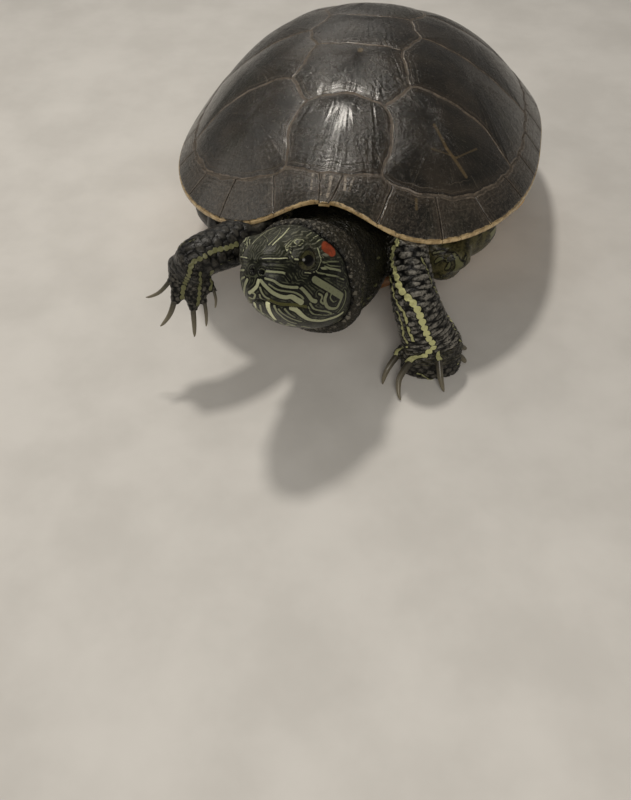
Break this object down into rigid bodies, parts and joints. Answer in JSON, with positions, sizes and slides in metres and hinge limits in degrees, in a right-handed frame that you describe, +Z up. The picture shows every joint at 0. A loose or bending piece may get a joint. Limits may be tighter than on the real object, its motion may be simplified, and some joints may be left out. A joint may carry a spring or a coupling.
{
  "type": "red-eared slider turtle",
  "caption": "Life-size red-eared slider turtle stepping forwards, head turned to its right and raised, one forefoot lifted, standing on its other feet.",
  "frame": {"origin": "middle of the turtle's bounding box in plan, on the floor it stands on", "axes": "+Z up; the shell's long axis lies along Y with the head end towards -Y; +X is the turtle's left side"},
  "size_m": [0.1554, 0.2398, 0.0883],
  "materials": {
    "carapace": "satin horn, near-black brown with thin tan seams and faint growth rings",
    "plastron": "satin horn, yellow-orange with a dark blotch on each scute",
    "skin": "scaly skin, dark olive with pale yellow-green stripes and a red patch behind each eye",
    "eye": "wet and glossy, dark olive iris round a black pupil",
    "claw": "smooth horn, grey-brown with a paler root"
  },
  "bodies": {
    "root": {"vertebral_1": "carapace", "vertebral_2": "carapace", "vertebral_3": "carapace", "vertebral_4": "carapace", "vertebral_5": "carapace", "nuchal": "carapace", "pleural_left_1": "carapace", "pleural_left_2": "carapace", "pleural_left_3": "carapace", "pleural_left_4": "carapace", "marginal_left_1": "carapace", "marginal_left_2": "carapace", "marginal_left_3": "carapace", "marginal_left_4": "carapace", "marginal_left_5": "carapace", "marginal_left_6": "carapace", "marginal_left_7": "carapace", "marginal_left_8": "carapace", "marginal_left_9": "carapace", "marginal_left_10": "carapace", "marginal_left_11": "carapace", "marginal_left_12": "carapace", "pleural_right_1": "carapace", "pleural_right_2": "carapace", "pleural_right_3": "carapace", "pleural_right_4": "carapace", "marginal_right_1": "carapace", "marginal_right_2": "carapace", "marginal_right_3": "carapace", "marginal_right_4": "carapace", "marginal_right_5": "carapace", "marginal_right_6": "carapace", "marginal_right_7": "carapace", "marginal_right_8": "carapace", "marginal_right_9": "carapace", "marginal_right_10": "carapace", "marginal_right_11": "carapace", "marginal_right_12": "carapace", "plastron": "plastron", "trunk": "skin", "neck": "skin", "head": "skin", "lower_jaw": "skin", "eye_left": "eye", "eye_right": "eye", "foreleg_left": "skin", "forefoot_left": "skin", "hindleg_left": "skin", "hindfoot_left": "skin", "foreleg_right": "skin", "forefoot_right": "skin", "hindleg_right": "skin", "hindfoot_right": "skin", "tail": "skin"}
  },
  "joints": []
}
